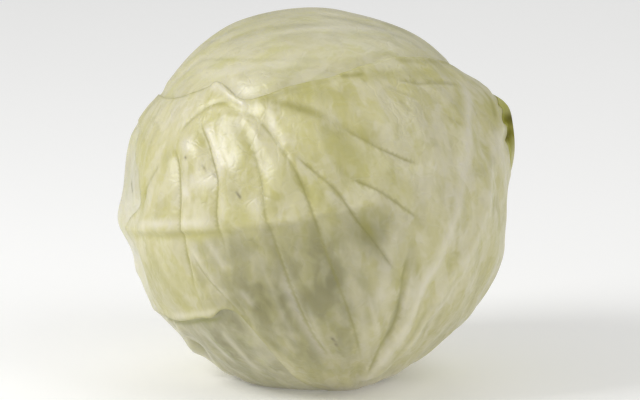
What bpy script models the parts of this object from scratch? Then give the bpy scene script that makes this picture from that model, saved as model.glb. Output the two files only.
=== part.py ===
"""A head of white cabbage, lying on its base, in metres with +Z up.

Four wrapper leaves lie over a dense heart, each a thin shell of its own, and a cut
stem with its core stands in the heart. The origin is on the resting surface, under
the middle of the head, and the front is towards -Y.

Places on the head are directions from its centre. Those on the front are given as
they appear in the front view, in its pixels, and the others as turns round the stem.
A leaf is a flat sheet on a map of the head, laid over it at its own depth.
"""

import math

import bmesh
import bpy
import numpy as np
from mathutils import Vector, geometry

for old in list(bpy.data.objects):
    bpy.data.objects.remove(old, do_unlink=True)

# Sizes of the head
MM = 0.001
HEAD_RADIUS = 0.0862
CENTRE_HEIGHT = 0.0818
LEAF_THICKNESS = 0.0010
LEAF_GAP = 0.0008
LAYER = LEAF_THICKNESS + LEAF_GAP
COVER_REACH = 0.002
COVER_FADE = 0.009

# Sizes of the stem
STEM_RADIUS = 0.0145
CORE_TIP_RADIUS = 0.005
CORE_LENGTH = 0.062
CUT_DISTANCE = 0.0790
STEM_CLEARANCE = 0.0005
STEM_SIDES = 24
LEAF_BASE_POLAR = 11.6
FOOT_ARC_STEP = 20

# Fineness of the sheets: outer leaves show and are finer
FINE_CELL = 0.0062
COARSE_CELL = 0.0082
OUTLINE_SHARE = 0.85
ROW_SHARE = math.sqrt(3) / 2
LINE_CLEARANCE = 0.55
RIM_CLEARANCE = 0.4
MERGE_ANGLE = 1e-6

# Relief of the leaves
PANEL_HEIGHT = 0.0027
PANEL_REACH = 0.0042
VEIN_HEIGHT = 0.0024
VEIN_WIDTH = 0.0036
MIDRIB_HEIGHT = 0.0032
MIDRIB_WIDTH = 0.0055
FOLD_HEIGHT = 0.0026
FOLD_RISE = 0.013
FOLD_DROP = 0.0025
RIB_FULL = 45
RIB_THIN = 115
RIB_THINNING = 0.75
MARGIN_FLATTEN = 0.65
MARGIN_BAND = 0.010
MARGIN_WAVES = 12
MARGIN_REACH = 0.006
FRONT_WAVE = 0.4
LOOSE_FROM = 0.1
LOOSE_OVER = 0.5
CURL_HEIGHT = 0.0015
CURL_WIDTH = 0.0032
FOOT_FLAT = 18
FOOT_FADE = 14

# The front view: it looks down by VIEW_TILT, and the stem leans to its right
VIEW_TILT = math.radians(12)
STEM_LEAN = math.radians(10.7)
VIEW_CENTRE = (318, 200)
VIEW_RADIUS = 195.0

VIEW_RIGHT = np.array([1.0, 0.0, 0.0])
VIEW_UP = np.array([0.0, math.sin(VIEW_TILT), math.cos(VIEW_TILT)])
VIEW_NEAR = np.array([0.0, -math.cos(VIEW_TILT), math.sin(VIEW_TILT)])
STEM_WAY = np.array([math.sin(STEM_LEAN), 0.0, -math.cos(STEM_LEAN)])
FRONT_WAY = np.array([0.0, -1.0, 0.0])
RIGHT_WAY = np.array([math.cos(STEM_LEAN), 0.0, math.sin(STEM_LEAN)])


def unit(vectors):
    """The vectors at length one."""
    return vectors / np.linalg.norm(vectors, axis=-1, keepdims=True)


def seen(x, y):
    """The direction of a point of the front view, on the near side of the head."""
    across = (x - VIEW_CENTRE[0]) / VIEW_RADIUS
    up = (VIEW_CENTRE[1] - y) / VIEW_RADIUS
    near = math.sqrt(max(0.0, 1 - across**2 - up**2))
    return unit(across * VIEW_RIGHT + up * VIEW_UP + near * VIEW_NEAR)


def seen_line(*points):
    """The directions of several points of the front view."""
    return [seen(x, y) for x, y in points]


def turned(turn, polar):
    """The direction at a turn round the stem from the front, positive to the right, and
    at a polar angle from the stem, both in degrees."""
    turn, polar = math.radians(turn), math.radians(polar)
    outward = math.cos(turn) * FRONT_WAY + math.sin(turn) * RIGHT_WAY
    return math.cos(polar) * STEM_WAY + math.sin(polar) * outward


def foot_arc(start, end):
    """A leaf's foot, an arc round the stem from one turn to another."""
    count = 1 + abs(end - start) // FOOT_ARC_STEP
    return [turned(turn, LEAF_BASE_POLAR) for turn in np.linspace(start, end, count)]


def along(points, step, closed=False):
    """A smooth line of directions through the points, one every step metres or so."""
    points = np.array(points)
    count = len(points)
    line = []
    for i in range(count if closed else count - 1):
        if closed:
            a, b, c, d = (points[(i + k) % count] for k in (-1, 0, 1, 2))
        else:
            b, c = points[i], points[i + 1]
            a = points[i - 1] if i else 2 * b - c
            d = points[i + 2] if i + 2 < count else 2 * c - b
        pieces = max(1, round(np.linalg.norm(c - b) * HEAD_RADIUS / step))
        for t in np.arange(pieces) / pieces:
            line.append(
                b
                + t * (c - a) / 2
                + t**2 * (a - 2.5 * b + 2 * c - d / 2)
                + t**3 * (1.5 * (b - c) + (d - a) / 2)
            )
    if not closed:
        line.append(points[-1])
    return unit(np.array(line))


def distance_to(lines, ways):
    """Metres from each direction to the nearest of the lines, along the head's surface."""
    nearest = np.full(len(ways), 2.0)
    for line in lines:
        start, run = line[:-1], line[1:] - line[:-1]
        length = np.maximum((run**2).sum(1), 1e-12)
        t = ((ways[:, None] - start) * run).sum(2) / length
        foot = start + np.clip(t, 0, 1)[..., None] * run
        nearest = np.minimum(nearest, np.linalg.norm(ways[:, None] - foot, axis=2).min(1))
    return nearest * HEAD_RADIUS


def fold_height(line, ways):
    """A sharp fold along the line: it rises slowly from above and drops sharply below."""
    nearest = np.argmin(np.linalg.norm(ways[:, None] - line, axis=2), axis=1)
    below = ways @ STEM_WAY > (line @ STEM_WAY)[nearest]
    reach = np.where(below, FOLD_DROP, FOLD_RISE)
    return FOLD_HEIGHT * np.exp(-((distance_to([line], ways) / reach) ** 2))


def smooth_step(value):
    """0 below 0, 1 above 1, and smooth between."""
    value = np.clip(value, 0, 1)
    return value * value * (3 - 2 * value)


def rib_taper(ways):
    """Veins and ribs are thickest near the stem and thin out on their way up the leaf."""
    polar = np.degrees(np.arccos(np.clip(ways @ STEM_WAY, -1, 1)))
    return 1 - RIB_THINNING * smooth_step((polar - RIB_FULL) / (RIB_THIN - RIB_FULL))


class Chart:
    """A flat map of the head round one direction, on which distances from it are true."""

    def __init__(self, centre):
        self.centre = centre
        self.east = unit(np.cross(-STEM_WAY, centre))
        self.north = np.cross(centre, self.east)

    def flat(self, ways):
        """The map's points of these directions, in radians."""
        angle = np.arccos(np.clip(ways @ self.centre, -1, 1))
        way = np.stack([ways @ self.east, ways @ self.north], axis=1)
        return way * (angle / np.maximum(np.linalg.norm(way, axis=1), 1e-9))[:, None]

    def ways(self, flat):
        """The directions of these points of the map."""
        angle = np.maximum(np.linalg.norm(flat, axis=1), 1e-9)[:, None]
        rise = np.sin(angle) / angle
        return np.cos(angle) * self.centre + rise * (flat[:, :1] * self.east + flat[:, 1:] * self.north)


class Leaf:
    """A wrapper leaf: its outline, the lines of its relief and how far its margin waves."""

    def __init__(
        self, name, middle, outline, cell, wave, panels=(), folds=(), veins=(), midribs=(), curls=()
    ):
        self.name = name
        self.cell = cell
        self.wave = wave
        self.chart = Chart(middle)
        self.outline = along(outline, cell * OUTLINE_SHARE, closed=True)
        self.rim = np.vstack([self.outline, self.outline[:1]])
        self.panels = [along(line, cell) for line in panels]
        self.folds = [along(line, cell) for line in folds]
        self.veins = [along(line, cell) for line in veins]
        self.midribs = [along(line, cell) for line in midribs]
        self.curls = [along(line, cell) for line in curls]

    def holds(self, ways):
        """Whether each direction is inside the outline."""
        points, rim = self.chart.flat(ways), self.chart.flat(self.rim)
        x, y = points[:, :1], points[:, 1:]
        x0, y0, x1, y1 = rim[:-1, 0], rim[:-1, 1], rim[1:, 0], rim[1:, 1]
        spans = (y0 > y) != (y1 > y)
        rise = np.where(y1 == y0, 1.0, y1 - y0)
        return (spans & (x < x0 + (y - y0) / rise * (x1 - x0))).sum(1) % 2 == 1

    def cover(self, ways):
        """1 where the leaf lies and just round it, falling to 0 a little further out."""
        outside = np.where(self.holds(ways), 0.0, distance_to([self.rim], ways))
        return 1 - smooth_step((outside - COVER_REACH) / COVER_FADE)

    def relief(self, ways):
        """How far the leaf stands out from the head's own form: puffed panels between
        creases, folds, veins and midribs, lower at the margin, which is waved, most where
        it is at the back, and curled where it is free."""
        height = np.zeros(len(ways))
        if self.panels:
            height += PANEL_HEIGHT * (1 - np.exp(-distance_to(self.panels, ways) / PANEL_REACH))
        for fold in self.folds:
            height += fold_height(fold, ways)
        if self.veins:
            veins = np.exp(-((distance_to(self.veins, ways) / VEIN_WIDTH) ** 2))
            height += VEIN_HEIGHT * veins * rib_taper(ways)
        if self.midribs:
            midribs = np.exp(-((distance_to(self.midribs, ways) / MIDRIB_WIDTH) ** 2))
            height += MIDRIB_HEIGHT * midribs * rib_taper(ways)
        inside = distance_to([self.rim], ways)
        turn = np.arctan2(ways @ RIGHT_WAY, ways @ FRONT_WAY)
        wave = 1 + np.sin(MARGIN_WAVES * (turn + ways @ STEM_WAY))
        loose = FRONT_WAVE + (1 - FRONT_WAVE) * smooth_step((LOOSE_FROM - ways @ VIEW_NEAR) / LOOSE_OVER)
        height *= 1 - MARGIN_FLATTEN * (1 - smooth_step(inside / MARGIN_BAND))
        height += self.wave * loose * wave * np.exp(-inside / MARGIN_REACH)
        if self.curls:
            height += CURL_HEIGHT * np.exp(-((distance_to(self.curls, ways) / CURL_WIDTH) ** 2))
        return height


def side_veins(turn, reach, first, last, count, top):
    """Veins by rule, for a leaf whose midrib stands at this turn: pairs that leave it at
    polar angles from first to last and lean out by reach degrees on their way to top."""
    lines = []
    for i in range(count):
        start = first + (last - first) * i / (count - 1)
        for side in (-1, 1):
            begin = start + 3 * side
            rise = 0.8 * (top - begin)
            lean = side * reach * (1 - 0.35 * i / count)
            steps = np.linspace(0.05, 1, 5)
            lines.append([turned(turn + lean * t**0.8, begin + rise * t) for t in steps])
    return lines


# The front leaf: outermost on the front, from the stem up to the cap's lower edge
FRONT_OUTLINE = [
    seen(223, 309),
    seen(213, 316),
    seen(200, 317),
    seen(180, 320),
    seen(165, 315),
    seen(153, 308),
    seen(144, 284),
    seen(138, 262),
    seen(127, 230),
    seen(139, 208),
    seen(138, 186),
    seen(133, 155),
    seen(135, 139),
    turned(-96, 118.5),
    turned(-105, 115),
    turned(-113, 114),
    turned(-118, 117),
    turned(-118.5, 122),
    turned(-115, 126.5),
    turned(-108, 130.5),
    turned(-98.5, 133.5),
    seen(165, 97),
    seen(180, 96),
    seen(205, 88),
    seen(220, 83),
    seen(240, 99),
    seen(262, 97),
    seen(289, 87),
    seen(330, 78),
    seen(345, 72),
    seen(372, 63),
    seen(392, 57),
    seen(425, 57),
    seen(450, 61),
    turned(98, 122),
    turned(109, 118),
    turned(118, 111),
    turned(119, 94),
    turned(114, 68),
    turned(106, 42),
    turned(100, 26),
    *foot_arc(96, -8),
    turned(-20, 22),
    seen(300, 383),
    seen(279, 361),
    seen(257, 335),
    seen(238, 314),
]
FRONT_CREASES = [
    seen_line((174, 140), (178, 168), (180, 200), (182, 230), (187, 262), (196, 292)),
    seen_line((199, 118), (208, 142), (213, 163), (218, 185), (218, 215), (228, 258)),
    seen_line((241, 124), (255, 156), (263, 190), (268, 220), (281, 260), (304, 318), (335, 365)),
    seen_line((232, 104), (260, 122), (290, 162), (306, 195), (327, 255), (352, 322), (362, 365)),
    seen_line((289, 151), (316, 173), (337, 192), (357, 220), (380, 250), (396, 272)),
    seen_line((349, 178), (375, 189), (395, 201), (420, 220)),
    seen_line((340, 126), (365, 140), (385, 151), (421, 166)),
    seen_line((410, 248), (402, 280), (395, 320), (380, 350), (364, 378)),
    seen_line((272, 101), (300, 109), (318, 116)),
    seen_line((392, 81), (420, 84), (460, 86)),
    seen_line((190, 250), (205, 275), (230, 302), (262, 343), (292, 375)),
]
FRONT_RIBS = [
    seen_line((366, 378), (388, 350), (418, 290), (436, 258), (452, 215), (464, 150), (465, 92)),
    seen_line((372, 376), (415, 330), (440, 290), (465, 255), (484, 210), (491, 160), (487, 100)),
]
# The sharp fold across the left of the front leaf
FOLD_LINE = seen_line((122, 226), (150, 229), (200, 228), (235, 226), (265, 221), (314, 216))

# The free edge, which curls a little outward
FREE_EDGE = seen_line((158, 313), (180, 319), (200, 317), (214, 315), (224, 307))

# The left leaf, under the front leaf and paler
LEFT_OUTLINE = [
    *foot_arc(16, -140),
    turned(-150, 28),
    turned(-158, 55),
    turned(-160, 82),
    turned(-150, 104),
    turned(-128, 118),
    turned(-112, 125),
    turned(-98, 127),
    turned(-80, 122),
    turned(-60, 106),
    turned(-46, 92),
    turned(-38, 82),
    turned(-20, 66),
    turned(0, 44),
    turned(12, 26),
]
LEFT_MIDRIB = [turned(-82, 16), turned(-86, 45), turned(-92, 80), turned(-98, 112)]

# The right leaf, outermost at the back and right, with its torn corner on the shoulder
RIGHT_OUTLINE = [
    turned(103, 111),
    turned(97, 110.5),
    turned(91, 110.5),
    turned(86, 109.5),
    turned(81, 109),
    turned(82.5, 106),
    turned(77, 104.5),
    turned(79.5, 101.5),
    turned(75, 99.5),
    turned(79, 96.5),
    turned(84, 94),
    turned(88, 89),
    turned(89, 80),
    turned(89, 68),
    turned(92, 52),
    turned(82, 30),
    *foot_arc(70, 222),
    turned(224, 28),
    turned(222, 50),
    turned(228, 80),
    turned(218, 106),
    turned(196, 122),
    turned(168, 129),
    turned(138, 129),
    turned(122, 122),
    turned(110, 115),
]
RIGHT_MIDRIB = [turned(128, 16), turned(136, 45), turned(146, 80), turned(155, 116)]

# The cap leaf, up the back, over the top and down under the front leaf's upper edge
CAP_OUTLINE = [
    *foot_arc(196, 140),
    turned(118, 28),
    turned(96, 58),
    turned(84, 92),
    turned(76, 112),
    turned(66, 124),
    turned(40, 130),
    turned(15, 131),
    turned(-10, 128),
    turned(-38, 130),
    turned(-66, 124),
    turned(-88, 108),
    turned(-104, 84),
    turned(-122, 56),
    turned(-150, 28),
]
CAP_MIDRIB = [turned(178, 16), turned(178, 60), turned(176, 100), turned(172, 140)]

# From the innermost to the outermost
LEAVES = [
    Leaf(
        "cap_leaf",
        turned(176, 118),
        CAP_OUTLINE,
        COARSE_CELL,
        1.0 * MM,
        veins=side_veins(178, 46, 30, 96, 5, 150),
        midribs=[CAP_MIDRIB],
    ),
    Leaf(
        "left_leaf",
        turned(-88, 72),
        LEFT_OUTLINE,
        COARSE_CELL,
        0.9 * MM,
        veins=side_veins(-90, 44, 26, 80, 4, 124),
        midribs=[LEFT_MIDRIB],
    ),
    Leaf(
        "front_leaf",
        turned(12, 78),
        FRONT_OUTLINE,
        FINE_CELL,
        0.5 * MM,
        panels=FRONT_CREASES,
        folds=[FOLD_LINE],
        midribs=FRONT_RIBS,
        curls=[FREE_EDGE],
    ),
    Leaf(
        "right_leaf",
        turned(148, 74),
        RIGHT_OUTLINE,
        COARSE_CELL,
        1.0 * MM,
        veins=side_veins(140, 44, 26, 84, 5, 128),
        midribs=[RIGHT_MIDRIB],
    ),
]

# Lumps and hollows of the head's own form: where, how wide in degrees and how high
LUMPS = [
    (seen(502, 122), 15, 8.4 * MM),
    (seen(457, 60), 8, -1.4 * MM),
    (seen(245, 18), 14, 1.4 * MM),
    (seen(214, 34), 14, 1.6 * MM),
    (seen(136, 128), 10, 2.8 * MM),
    (seen(166, 76), 8, -1.2 * MM),
    (seen(318, 5), 12, 1.0 * MM),
    (seen(360, 12), 16, -1.2 * MM),
    (seen(150, 300), 14, 1.0 * MM),
    (seen(135, 266), 8, -2.2 * MM),
    (seen(193, 349), 8, -4.2 * MM),
    (seen(251, 383), 9, 1.8 * MM),
    (seen(352, 391), 9, 1.6 * MM),
    (seen(443, 349), 24, -2.0 * MM),
    (seen(513, 206), 9, -4.0 * MM),
    (seen(117, 222), 7, 5.0 * MM),
    (seen(120, 175), 12, 1.0 * MM),
]


def head_radius(ways):
    """The head's own form, as a distance from its centre in each direction."""
    radius = np.full(len(ways), HEAD_RADIUS)
    for middle, width, height in LUMPS:
        angle = np.degrees(np.arccos(np.clip(ways @ middle, -1, 1)))
        radius += height * np.exp(-((angle / width) ** 2))
    return radius


def placed(ways, radius, above):
    """Points at this radius from the head's centre, held up off the resting surface by
    the depth of what lies outside them."""
    points = ways * radius[:, None]
    points[:, 2] = np.maximum(points[:, 2], above - CENTRE_HEIGHT)
    return points


def foot_fade(ways):
    """0 on the flat spot and near the stem, and 1 from a little way up the head."""
    down = np.degrees(np.arccos(np.clip(-ways[:, 2], -1, 1)))
    return smooth_step((down - FOOT_FLAT) / FOOT_FADE)


def leaf_points(index, ways):
    """Where the leaf's outer face lies in these directions."""
    leaf = LEAVES[index]
    above = np.zeros(len(ways))
    clear = foot_fade(ways)
    for outer in LEAVES[index + 1 :]:
        cover = outer.cover(ways)
        above += cover * LAYER
        clear = clear * (1 - cover)
    return placed(ways, head_radius(ways) - above + leaf.relief(ways) * clear, above)


def leaf_sheet(leaf):
    """The leaf flat on its map: outline, relief lines and an even fill of points, joined
    into triangles that follow the lines."""
    lines = leaf.panels + leaf.folds + leaf.veins + leaf.midribs
    lines = [line[leaf.holds(line)] for line in lines]
    lines = [line for line in lines if len(line) > 1]
    lines = [line[distance_to([leaf.rim], line) > RIM_CLEARANCE * leaf.cell] for line in lines]
    outline = leaf.chart.flat(leaf.outline)
    points, edges = list(outline), [(i, (i + 1) % len(outline)) for i in range(len(outline))]
    for line in lines:
        first = len(points)
        points.extend(leaf.chart.flat(line))
        edges.extend((first + i, first + i + 1) for i in range(len(line) - 1))
    step = leaf.cell / HEAD_RADIUS
    low, high = outline.min(0), outline.max(0)
    columns = np.arange(low[0], high[0], step)
    rows = np.arange(low[1], high[1], step * ROW_SHARE)
    fill = np.array([(x + step / 2 * (row % 2), y) for row, y in enumerate(rows) for x in columns])
    ways = leaf.chart.ways(fill)
    clear = distance_to([leaf.rim] + lines, ways) > LINE_CLEARANCE * leaf.cell
    points.extend(fill[leaf.holds(ways) & clear])
    loop = [list(range(len(outline)))]
    joined = geometry.delaunay_2d_cdt([Vector(p) for p in points], edges, loop, 1, MERGE_ANGLE)
    return np.array([tuple(p) for p in joined[0]]), joined[2]


def material(name, colour, roughness):
    """A plain, non-metallic surface."""
    made = bpy.data.materials.new(name)
    made.use_nodes = True
    shader = made.node_tree.nodes["Principled BSDF"]
    shader.inputs["Base Color"].default_value = (*colour, 1)
    shader.inputs["Roughness"].default_value = roughness
    shader.inputs["Metallic"].default_value = 0.0
    return made


head = bpy.data.collections.new("cabbage_head")
cutters = bpy.data.collections.new("cutters")
bpy.context.scene.collection.children.link(head)
bpy.context.scene.collection.children.link(cutters)
centre = bpy.data.objects.new("head_centre", None)
head.objects.link(centre)


def new_object(name, mesh, collection, colour, roughness):
    """The mesh as an object of its own material, placed from the head's centre."""
    mesh.materials.append(material(f"{name}_surface", colour, roughness))
    made = bpy.data.objects.new(name, mesh)
    made.parent = centre
    collection.objects.link(made)
    return made


# Linear colours, with a roughness
LEAF_COLOURS = {
    "cap_leaf": ((0.58, 0.55, 0.35), 0.45),
    "left_leaf": ((0.62, 0.60, 0.42), 0.45),
    "front_leaf": ((0.56, 0.52, 0.33), 0.45),
    "right_leaf": ((0.50, 0.49, 0.28), 0.45),
}
HEART_COLOUR = ((0.66, 0.64, 0.42), 0.5)
STEM_COLOUR = ((0.68, 0.66, 0.50), 0.6)

low, high = np.full(3, np.inf), np.full(3, -np.inf)
for index, leaf in enumerate(LEAVES):
    flat, triangles = leaf_sheet(leaf)
    points = leaf_points(index, leaf.chart.ways(flat))
    low, high = np.minimum(low, points.min(0)), np.maximum(high, points.max(0))
    mesh = bpy.data.meshes.new(leaf.name)
    mesh.from_pydata(points.tolist(), [], triangles)
    mesh.shade_smooth()
    shell = new_object(leaf.name, mesh, head, *LEAF_COLOURS[leaf.name])
    thickness = shell.modifiers.new("thickness", "SOLIDIFY")
    thickness.thickness = LEAF_THICKNESS
    thickness.offset = -1

# The leaves' outer faces give the head's whole outline, which stands over the origin
middle = (low + high) / 2
centre.location = (-middle[0], -middle[1], CENTRE_HEIGHT)


# The heart, below every leaf, with the steps of its own overlapping leaves
HEART_STEP = 0.0016
HEART_LEAVES = 3
HEART_TWIST = 1.1
HEART_FOOT = 0.0085
HEART_FOOT_POLAR = 30
HEART_FOOT_FADE = 10

body = bmesh.new()
bmesh.ops.create_icosphere(body, subdivisions=4, radius=1)
ways = unit(np.array([vert.co for vert in body.verts]))
polar = np.arccos(np.clip(ways @ STEM_WAY, -1, 1))
foot = HEART_FOOT * smooth_step((HEART_FOOT_POLAR - np.degrees(polar)) / HEART_FOOT_FADE)
above = np.maximum(sum(leaf.cover(ways) for leaf in LEAVES) * LAYER, foot) + LEAF_GAP
turn = np.arctan2(ways @ RIGHT_WAY, ways @ FRONT_WAY) + HEART_TWIST * polar
lap = (turn * HEART_LEAVES / math.tau) % 1
step = HEART_STEP * smooth_step(lap) * np.sin(polar)
for vert, point in zip(body.verts, placed(ways, head_radius(ways) - above - step, above)):
    vert.co = point
mesh = bpy.data.meshes.new("heart")
body.to_mesh(mesh)
body.free()
mesh.shade_smooth()
heart = new_object("heart", mesh, head, *HEART_COLOUR)


def stem_cone(name, extra, collection):
    """The stump and core as one cone, its wide end at the cut, grown by extra all round."""
    shape = bmesh.new()
    bmesh.ops.create_cone(
        shape,
        cap_ends=True,
        segments=STEM_SIDES,
        radius1=STEM_RADIUS + extra,
        radius2=CORE_TIP_RADIUS + extra,
        depth=CORE_LENGTH + 2 * extra,
    )
    mesh = bpy.data.meshes.new(name)
    shape.to_mesh(mesh)
    shape.free()
    made = new_object(name, mesh, collection, *STEM_COLOUR)
    made.rotation_euler = Vector(-STEM_WAY).to_track_quat("Z", "Y").to_euler()
    made.location = Vector(STEM_WAY) * (CUT_DISTANCE - CORE_LENGTH / 2)
    return made


stem_cone("stem", 0.0, head)
pocket = stem_cone("stem_pocket", STEM_CLEARANCE, cutters)
pocket.hide_render = True
pocket.display_type = "WIRE"
cut = heart.modifiers.new("stem_pocket", "BOOLEAN")
cut.operation = "DIFFERENCE"
cut.object = pocket
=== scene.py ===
import math

import bmesh
import bpy
import numpy as np
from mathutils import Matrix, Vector, geometry, kdtree, noise


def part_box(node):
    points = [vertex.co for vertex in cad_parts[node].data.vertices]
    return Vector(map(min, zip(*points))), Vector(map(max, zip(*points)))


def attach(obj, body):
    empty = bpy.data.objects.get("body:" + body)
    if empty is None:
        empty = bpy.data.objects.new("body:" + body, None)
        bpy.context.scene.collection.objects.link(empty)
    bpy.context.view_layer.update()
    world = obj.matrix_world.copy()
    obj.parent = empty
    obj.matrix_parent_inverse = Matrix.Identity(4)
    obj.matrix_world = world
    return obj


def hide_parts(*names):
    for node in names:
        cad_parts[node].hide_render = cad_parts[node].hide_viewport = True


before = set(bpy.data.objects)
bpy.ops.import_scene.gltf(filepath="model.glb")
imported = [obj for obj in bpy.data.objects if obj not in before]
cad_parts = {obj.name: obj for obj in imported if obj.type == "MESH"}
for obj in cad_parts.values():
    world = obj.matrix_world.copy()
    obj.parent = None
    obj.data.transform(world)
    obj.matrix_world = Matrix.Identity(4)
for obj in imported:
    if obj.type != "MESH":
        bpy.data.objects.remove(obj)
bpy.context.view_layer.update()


# The heart
# The heart is all the tightly packed inner leaves, of which only slivers could ever be
# seen between the wrapper leaves. It is pale, smooth and yellowish, and grows on the stem's
# core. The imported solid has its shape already, and gets the tissue of inner leaves.
MM = 0.001
HEART_FLESH = (0.66, 0.63, 0.36, 1)
HEART_PALE = (0.76, 0.74, 0.52, 1)


def shader_node(tree, kind, inputs=None, **settings):
    """A node of this kind, with each input set, or linked where its value is a socket."""
    made = tree.nodes.new(kind)
    for name, value in settings.items():
        setattr(made, name, value)
    for name, value in (inputs or {}).items():
        if isinstance(value, bpy.types.NodeSocket):
            tree.links.new(value, made.inputs[name])
        else:
            made.inputs[name].default_value = value
    return made


def sums(tree, operation, *values):
    """The result of a Math node."""
    return shader_node(tree, "ShaderNodeMath", dict(enumerate(values)), operation=operation).outputs[0]


def tinted(tree, share, below, above):
    """Two colours mixed by the share, on the colour sockets of a Mix node."""
    made = shader_node(tree, "ShaderNodeMix", {0: share, 6: below, 7: above}, data_type="RGBA")
    return made.outputs[2]


def spread(tree, value, low, high, to_low=0.0, to_high=1.0):
    """The value taken smoothly from one range to another."""
    made = shader_node(
        tree,
        "ShaderNodeMapRange",
        {"Value": value, "From Min": low, "From Max": high, "To Min": to_low, "To Max": to_high},
        interpolation_type="SMOOTHSTEP",
    )
    return made.outputs["Result"]


def new_group(name, inputs, outputs):
    """A shader node group with these named sockets, and its two end nodes."""
    tree = bpy.data.node_groups.new(name, "ShaderNodeTree")
    for socket, kind, value in inputs:
        made = tree.interface.new_socket(socket, in_out="INPUT", socket_type=kind)
        made.default_value = value
    for socket, kind in outputs:
        tree.interface.new_socket(socket, in_out="OUTPUT", socket_type=kind)
    return tree, tree.nodes.new("NodeGroupInput"), tree.nodes.new("NodeGroupOutput")


# The tissue that every leaf shows: soft clouds of colour, a fine net of veins with the
# tissue puffed between them, and a waxy grain
tissue, given, result = new_group(
    "leaf_tissue",
    [("Cloud Size", "NodeSocketFloat", 0.03), ("Net Size", "NodeSocketFloat", 0.006)],
    [("Clouds", "NodeSocketFloat"), ("Net", "NodeSocketFloat"), ("Grain", "NodeSocketFloat")],
)
place = tissue.nodes.new("ShaderNodeTexCoord").outputs["Object"]
clouds = shader_node(
    tissue,
    "ShaderNodeTexNoise",
    {
        "Vector": place,
        "Scale": sums(tissue, "DIVIDE", 1.0, given.outputs["Cloud Size"]),
        "Detail": 3.0,
        "Roughness": 0.5,
        "Distortion": 0.6,
    },
)
ruffled = shader_node(
    tissue,
    "ShaderNodeTexNoise",
    {"Vector": place, "Scale": 120.0, "Detail": 2.0},
    normalize=False,
)
moved = shader_node(
    tissue,
    "ShaderNodeVectorMath",
    {0: ruffled.outputs["Color"], "Scale": 0.0035},
    operation="SCALE",
)
bent = shader_node(tissue, "ShaderNodeVectorMath", {0: place, 1: moved.outputs[0]}, operation="ADD")
net = shader_node(
    tissue,
    "ShaderNodeTexVoronoi",
    {"Vector": bent.outputs[0], "Scale": sums(tissue, "DIVIDE", 1.0, given.outputs["Net Size"])},
    feature="DISTANCE_TO_EDGE",
)
grain = shader_node(tissue, "ShaderNodeTexNoise", {"Vector": place, "Scale": 900.0, "Detail": 2.0})
tissue.links.new(clouds.outputs["Fac"], result.inputs["Clouds"])
tissue.links.new(spread(tissue, net.outputs["Distance"], 0.0, 0.22, 1.0, 0.0), result.inputs["Net"])
tissue.links.new(grain.outputs["Fac"], result.inputs["Grain"])


def new_material(name):
    """A material with a node tree, and its Principled shader."""
    made = bpy.data.materials.new(name)
    made.use_nodes = True
    return made, made.node_tree, made.node_tree.nodes["Principled BSDF"]


def set_leaf_shader(shader):
    """Light sinks a little into a leaf, and its wax gives a soft, broad shine."""
    shader.inputs["Subsurface Weight"].default_value = 0.22
    shader.inputs["Subsurface Radius"].default_value = (1.0, 0.9, 0.35)
    shader.inputs["Subsurface Scale"].default_value = 0.003
    shader.inputs["Specular IOR Level"].default_value = 0.5
    shader.inputs["Coat Roughness"].default_value = 0.26


heart_finish, tree, shader = new_material("heart_leaves")
set_leaf_shader(shader)
fibre = shader_node(tree, "ShaderNodeGroup", node_tree=tissue)
fibre.inputs["Cloud Size"].default_value = 0.04
fibre.inputs["Net Size"].default_value = 0.008
clouded = spread(tree, fibre.outputs["Clouds"], 0.3, 0.7)
tree.links.new(tinted(tree, clouded, HEART_FLESH, HEART_PALE), shader.inputs["Base Color"])
tree.links.new(spread(tree, clouded, 0.0, 1.0, 0.4, 0.52), shader.inputs["Roughness"])
puff = shader_node(
    tree,
    "ShaderNodeBump",
    {"Height": sums(tree, "MULTIPLY", fibre.outputs["Net"], -0.2), "Distance": MM},
)
tree.links.new(puff.outputs["Normal"], shader.inputs["Normal"])
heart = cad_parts["heart"]
heart.data.materials.clear()
heart.data.materials.append(heart_finish)


# The wrapper leaves in common
# Four large leaves lie over the heart and over each other. Each is a flat sheet about a
# millimetre thick that grew round the head, thinner at its margin, from a foot beside the
# stem. This section has the head's own form, their outlines and the way a leaf is laid.
HEAD_RADIUS = 0.0862
CENTRE_HEIGHT = 0.0818
LEAF_THICKNESS = 1.0 * MM
LEAF_GAP = 0.8 * MM
LAYER = LEAF_THICKNESS + LEAF_GAP
LEAF_BASE_POLAR = 11.6

# How far beyond its margin a leaf smooths the one below, and how its margin thins
COVER_REACH = 0.8 * MM
COVER_FADE = 6 * MM
MARGIN_THICKNESS = 0.4
MARGIN_PRESS = 0.28
MARGIN_TAPER = 6 * MM

# How a sheet's points are laid: in even rows that keep clear of its lines, in cells
FOOT_ARC_STEP = 20
ROW_SHARE = math.sqrt(3) / 2
LINE_CLEARANCE = 0.55
RIM_CLEARANCE = 0.4
MERGE_ANGLE = 1e-6
CHUNK = 4000
FAR = 9.0

# Veins and ribs, and their pale tissue
VEIN_HEIGHT = 1.9 * MM
VEIN_WIDTH = 3.6 * MM
MIDRIB_HEIGHT = 2.5 * MM
MIDRIB_WIDTH = 5.5 * MM
PALE_VEIN_WIDTH = 1.6 * MM
PALE_RIB_WIDTH = 3.4 * MM
RIB_FULL = 45
RIB_THIN = 115
RIB_THINNING = 0.75
PAIR_SHIFT = 3
VEIN_RISE = 0.8
VEIN_START = 0.05
VEIN_POINTS = 5
VEIN_BEND = 0.8
LEAN_LOSS = 0.35

# Puckers of the blade, and how far past the head's outline a patch of colour fades
PUCKER_SPAN = 1.6
PATCH_FADE = 0.3

# The margin lies flatter than the blade, and its waves are highest at the back
MARGIN_FLATTEN = 0.65
MARGIN_BAND = 10 * MM
MARGIN_WAVES = 12
MARGIN_REACH = 6 * MM
FRONT_WAVE = 0.15
LOOSE_FROM = -0.02
LOOSE_OVER = 0.5

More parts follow.
